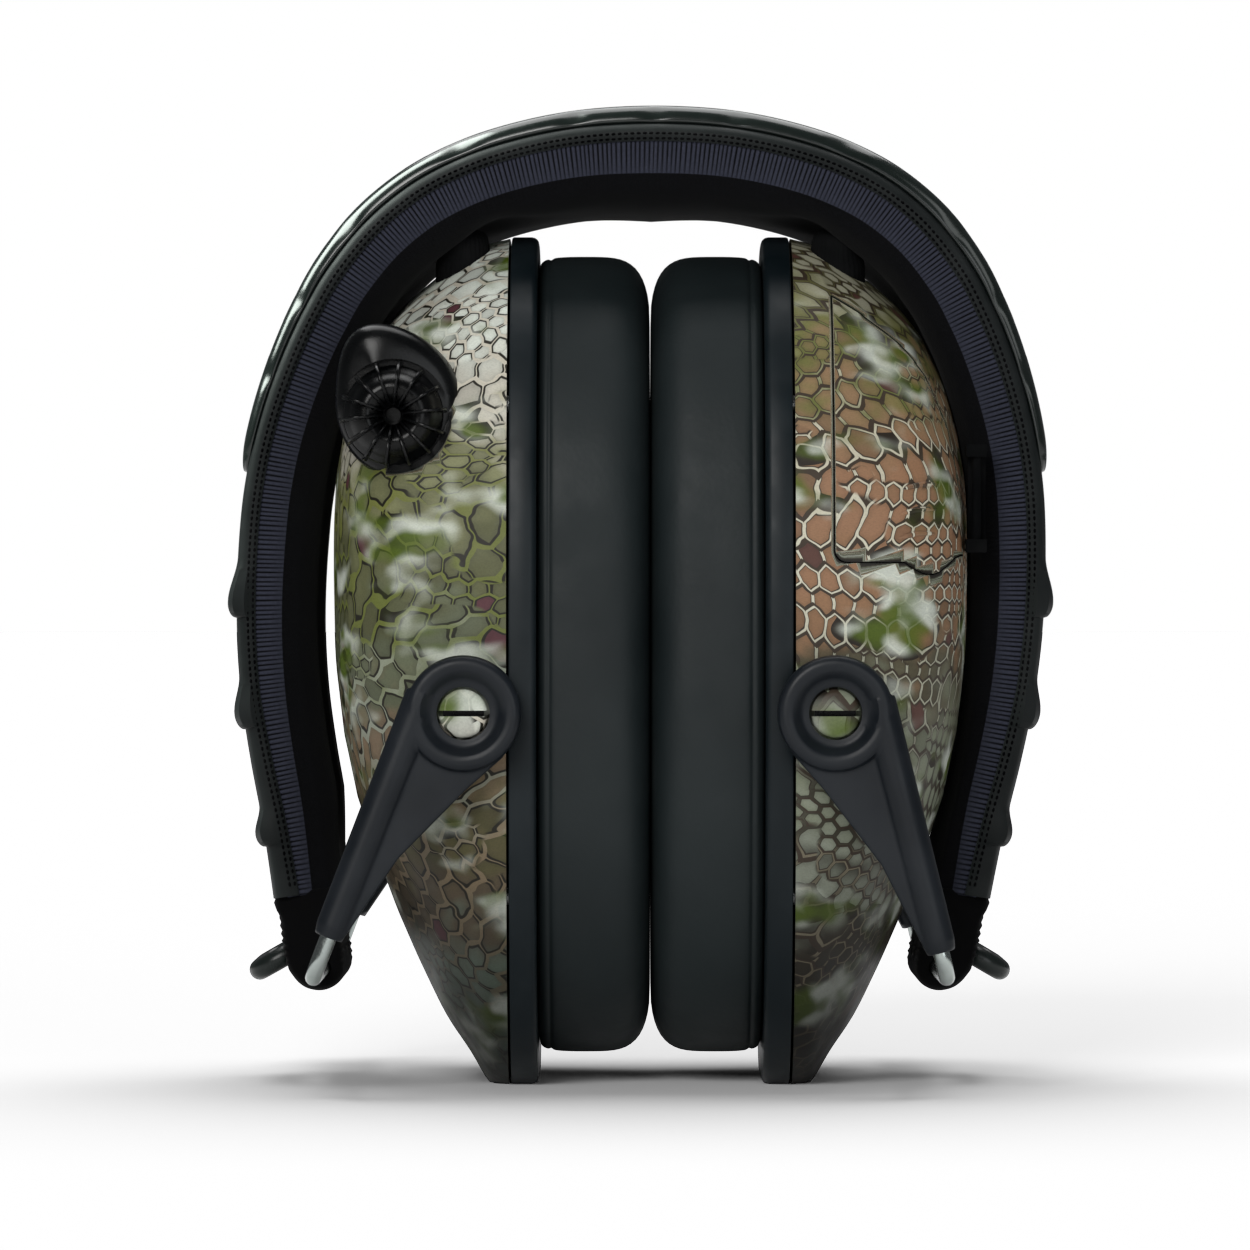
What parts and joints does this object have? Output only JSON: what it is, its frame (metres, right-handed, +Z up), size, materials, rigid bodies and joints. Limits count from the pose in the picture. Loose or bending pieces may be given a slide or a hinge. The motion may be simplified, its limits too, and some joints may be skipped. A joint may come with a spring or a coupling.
{
  "type": "earmuff hearing protector",
  "caption": "Folding over-the-head electronic earmuff with padded sprung headband, camouflage cups, volume knob and battery door.",
  "frame": {"origin": "middle of the footprint on the surface the folded part stands on", "axes": "+Z up, the front with the volume knob faces -Y, +X to the right as seen from the front"},
  "size_m": [0.1063, 0.0912, 0.1266],
  "materials": {
    "cover": "semi-matt moulded cover strip",
    "bumper": "glossy rubber",
    "fabric": "padded knit fabric over foam",
    "steel": "bright spring steel",
    "arm": "satin moulded plastic",
    "shell": "film-printed camouflage plastic",
    "bezel": "satin black plastic",
    "cushion": "soft leatherette over foam",
    "foam": "open foam",
    "black": "black plastic",
    "cell": "metal casing",
    "board": "green laminate",
    "brass": "bright brass"
  },
  "bodies": {
    "headband": {"headband_cover": "cover", "crown_bumper": "bumper", "headband_pad": "fabric", "spring_band": "steel"},
    "left_side": {"left_end_cap": "fabric", "left_pull_loop": "bumper", "left_band_pin": "steel"},
    "left_bail": {"left_bail_wire": "steel"},
    "left_arms": {"left_front_arm": "arm", "left_rear_arm": "arm"},
    "left_cup": {"left_cup_shell": "shell", "left_bezel": "bezel", "left_cushion_plate": "black", "left_cushion": "cushion", "left_foam_liner": "foam", "left_speaker": "black", "left_mic_pod": "black", "left_mic_capsule": "brass", "left_bezel_screw_1": "steel", "left_bezel_screw_2": "steel", "left_bezel_screw_3": "steel", "left_bezel_screw_4": "steel", "volume_seat": "black", "volume_control": "cell", "circuit_board": "board"},
    "right_side": {"right_end_cap": "fabric", "right_pull_loop": "bumper", "right_band_pin": "steel"},
    "right_bail": {"right_bail_wire": "steel"},
    "right_arms": {"right_front_arm": "arm", "right_rear_arm": "arm"},
    "right_cup": {"right_cup_shell": "shell", "right_bezel": "bezel", "right_cushion_plate": "black", "right_cushion": "cushion", "right_foam_liner": "foam", "right_speaker": "black", "right_mic_pod": "black", "right_mic_capsule": "brass", "right_bezel_screw_1": "steel", "right_bezel_screw_2": "steel", "right_bezel_screw_3": "steel", "right_bezel_screw_4": "steel", "battery_tray": "black", "battery_lower": "cell", "battery_upper": "cell", "battery_door_pin": "steel", "door_hinge": "black"},
    "volume_knob": {"volume_knob": "black"},
    "battery_door": {"battery_door": "shell", "battery_contact": "brass"}
  },
  "joints": [
    {"name": "left_band_flex", "type": "hinge", "parent": "headband", "child": "left_side", "pos_m": [-0.021, 0, 0.1175], "axis": [0, 1, 0], "range_deg": [0, 52.5], "deforming": ["headband_cover", "crown_bumper", "headband_pad", "spring_band"]},
    {"name": "left_unfold", "type": "hinge", "parent": "left_side", "child": "left_bail", "pos_m": [-0.04144, 0, 0.015], "axis": [0, 1, 0], "range_deg": [0, 87]},
    {"name": "left_height", "type": "slide", "parent": "left_bail", "child": "left_arms", "axis": [0.3528, 0, 0.9357], "range_m": [0, 0.018]},
    {"name": "left_cup_pivot", "type": "hinge", "parent": "left_arms", "child": "left_cup", "pos_m": [-0.0224, 0, 0.0485], "axis": [0, 1, 0], "range_deg": [-139, 0]},
    {"name": "right_band_flex", "type": "hinge", "parent": "headband", "child": "right_side", "pos_m": [0.023, 0, 0.1175], "axis": [0, -1, 0], "range_deg": [0, 52.5], "deforming": ["headband_cover", "crown_bumper", "headband_pad", "spring_band"]},
    {"name": "right_unfold", "type": "hinge", "parent": "right_side", "child": "right_bail", "pos_m": [0.03876, 0, 0.015], "axis": [0, -1, 0], "range_deg": [0, 87]},
    {"name": "right_height", "type": "slide", "parent": "right_bail", "child": "right_arms", "axis": [-0.232, 0, 0.9727], "range_m": [0, 0.018]},
    {"name": "right_cup_pivot", "type": "hinge", "parent": "right_arms", "child": "right_cup", "pos_m": [0.0246, 0, 0.0485], "axis": [0, -1, 0], "range_deg": [-139, 0]},
    {"name": "volume_turn", "type": "hinge", "parent": "left_cup", "child": "volume_knob", "pos_m": [-0.0315, -0.038, 0.0864], "axis": [0, -1, 0], "range_deg": [0, 270]},
    {"name": "battery_door_swing", "type": "hinge", "parent": "right_cup", "child": "battery_door", "pos_m": [0.04322, -0.0249, 0.076], "axis": [0, 0, 1], "range_deg": [0, 125]}
  ],
  "couplings": [
    {"joint": "left_band_flex", "follows": "left_height", "rad_per_m": 49.44},
    {"joint": "left_unfold", "follows": "left_height", "rad_per_m": 82.4},
    {"joint": "left_cup_pivot", "follows": "left_height", "rad_per_m": -131.84},
    {"joint": "right_band_flex", "follows": "right_height", "rad_per_m": 49.44},
    {"joint": "right_unfold", "follows": "right_height", "rad_per_m": 82.4},
    {"joint": "right_cup_pivot", "follows": "right_height", "rad_per_m": -131.84}
  ]
}
